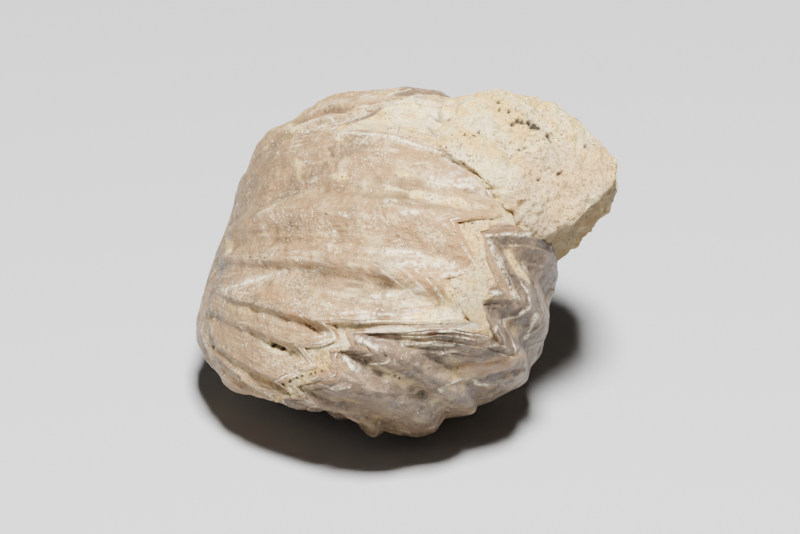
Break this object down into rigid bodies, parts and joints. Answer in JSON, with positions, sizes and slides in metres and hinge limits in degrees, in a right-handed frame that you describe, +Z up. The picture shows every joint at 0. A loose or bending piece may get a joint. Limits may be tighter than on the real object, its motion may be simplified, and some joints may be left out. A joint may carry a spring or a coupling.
{
  "type": "rhynchonellid brachiopod fossil",
  "caption": "Swollen fossil lamp shell with sharp fanning ribs, its valves closed on a zigzag seam, lying on its side with a lump of pale granular rock on one flank.",
  "frame": {"origin": "on the ground under the middle of the fossil's bounding box", "axes": "+Z up as the fossil rests, +X from the beak end towards the lump of rock, and the pictured side faces -Y"},
  "size_m": [0.036, 0.0322, 0.0299],
  "materials": {
    "ventral_shell": "waxy tan and pinkish beige calcite with fine growth lines and cream sediment in the furrows",
    "dorsal_shell": "grey-brown calcite with pale growth lines, duller towards the underside",
    "rock": "dry granular cream limestone with small dark and rusty specks"
  },
  "bodies": {
    "root": {"ventral_valve": "ventral_shell", "dorsal_valve": "dorsal_shell", "matrix_lump": "rock"}
  },
  "joints": []
}
